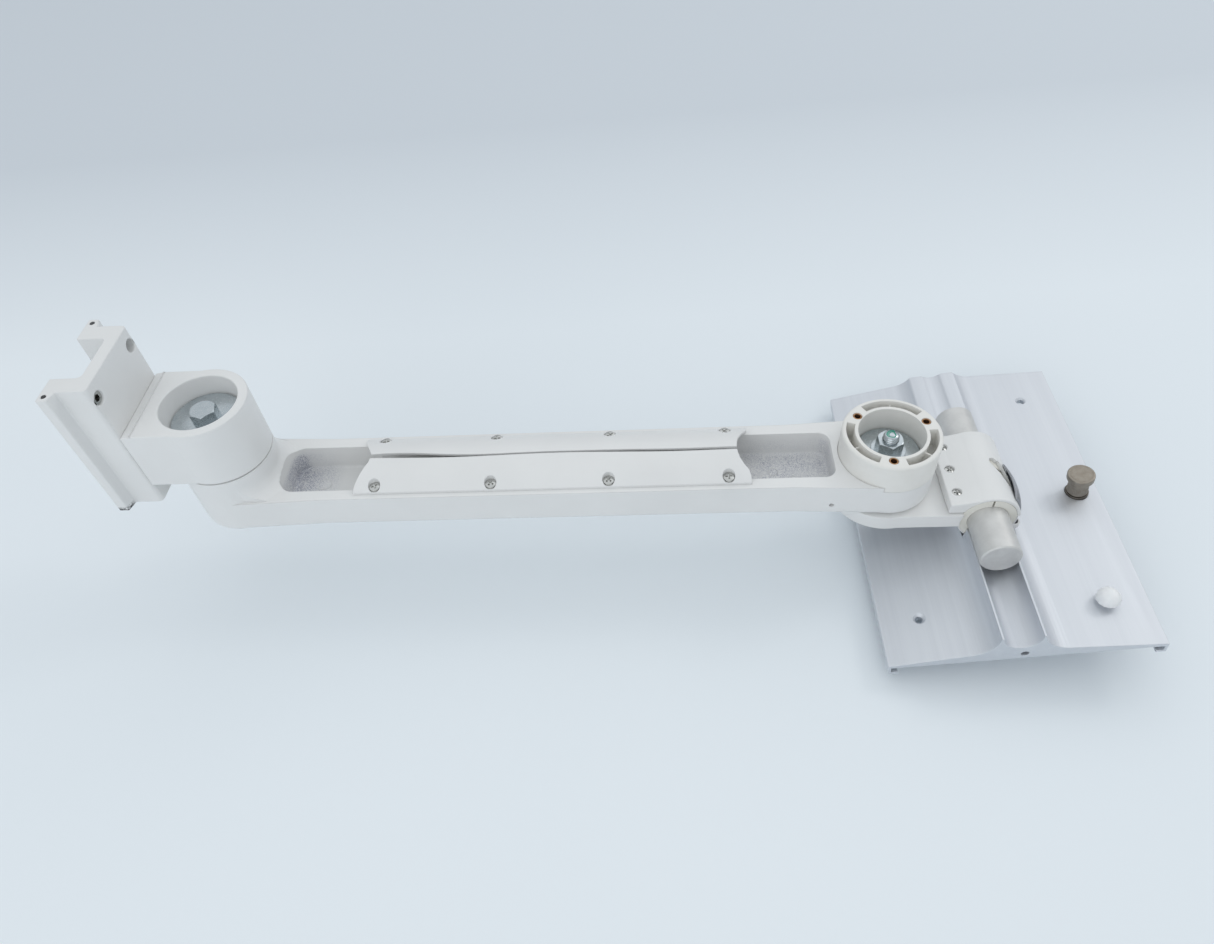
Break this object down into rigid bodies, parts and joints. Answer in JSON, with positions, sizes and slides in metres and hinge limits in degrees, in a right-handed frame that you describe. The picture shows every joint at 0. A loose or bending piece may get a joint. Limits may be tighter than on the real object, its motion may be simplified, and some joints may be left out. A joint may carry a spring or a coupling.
{
  "type": "articulated wall arm with tilting slide-in plate",
  "caption": "Jointed white arm with a wall-channel bracket, covered cable trough, ring cup and friction clamp that tilts a brushed plate with lips to slide a device in.",
  "frame": {"origin": "middle of the wall slider's rear face, which rests on the back of the wall channel", "axes": "+X out along the arm, +Z along the wall channel and the swing axes, +Y completes the right-handed frame"},
  "size_m": [0.6112, 0.226, 0.1755],
  "materials": {
    "white_paint": "satin off-white powder coat",
    "cream_plastic": "matte cream moulding",
    "black_plastic": "matte",
    "zinc_steel": "bright zinc plate",
    "plain_steel": "plain spring steel",
    "dark_steel": "black oxide",
    "brass_inserts": "knurled brass, darkened",
    "bare_aluminium": "fine turned, matte",
    "brushed_aluminium": "extruded, brushed along its length",
    "nickel": "warm nickel plate, turned",
    "nylon": "translucent natural nylon"
  },
  "bodies": {
    "wall_base": {"wall_bracket": "white_paint", "bracket_end_plugs": "black_plastic", "bracket_lock_screw": "zinc_steel", "hub_block": "white_paint", "hub_block_screws": "dark_steel", "hub_washer": "zinc_steel", "hub_bolt": "zinc_steel", "hub_sleeve": "plain_steel", "hub_lower_washer": "zinc_steel", "hub_disc_springs": "plain_steel", "hub_nut": "zinc_steel"},
    "arm": {"arm_casting": "white_paint", "hub_bushings": "cream_plastic", "hub_thrust_washer": "black_plastic", "front_cover": "white_paint", "rear_cover": "white_paint", "cover_screws": "zinc_steel", "trough_set_screw": "dark_steel", "ring_cup": "cream_plastic", "ring_inserts": "brass_inserts", "tip_bushings": "cream_plastic", "tip_thrust_washer": "black_plastic"},
    "tilt_head": {"head_casting": "white_paint", "tip_sleeve": "plain_steel", "tip_bolt": "zinc_steel", "tip_washer": "zinc_steel", "tip_small_washer": "zinc_steel", "tip_nut": "zinc_steel", "clamp_cover": "white_paint", "clamp_cover_screws": "zinc_steel", "front_split_bushing": "cream_plastic", "rear_split_bushing": "cream_plastic", "tension_strap": "plain_steel", "tension_screw": "dark_steel"},
    "plate_body": {"rod": "bare_aluminium", "plate": "brushed_aluminium", "rod_screws": "dark_steel", "rod_spacer": "bare_aluminium", "plunger_barrel": "nickel", "plunger_spring": "plain_steel"},
    "plunger": {"plunger_knob": "nickel", "plunger_pin": "plain_steel"},
    "nylon_screw_body": {"nylon_screw": "nylon"}
  },
  "joints": [
    {"name": "arm_swing", "type": "hinge", "parent": "wall_base", "child": "arm", "pos_m": [0.0618, 0, -0.07665], "axis": [0, 0, 1], "range_deg": [-90, 90]},
    {"name": "head_swivel", "type": "hinge", "parent": "arm", "child": "tilt_head", "pos_m": [0.4682, 0, -0.07665], "axis": [0, 0, 1], "range_deg": [-100, 100]},
    {"name": "plate_tilt", "type": "hinge", "parent": "tilt_head", "child": "plate_body", "pos_m": [0.5284, 0, -0.08345], "axis": [0, 1, 0], "range_deg": [-5, 11]},
    {"name": "plunger_pull", "type": "slide", "parent": "plate_body", "child": "plunger", "axis": [-0.1461, 0, 0.9893], "range_m": [0, 0.006], "stiffness_N_per_m": 400, "springref_m": -0.003, "deforming": ["plunger_spring"]},
    {"name": "nylon_turn", "type": "hinge", "parent": "plate_body", "child": "nylon_screw_body", "pos_m": [0.58761, -0.0777, -0.10453], "axis": [-0.1461, 0, 0.9893], "range_deg": [-180, 180]}
  ]
}
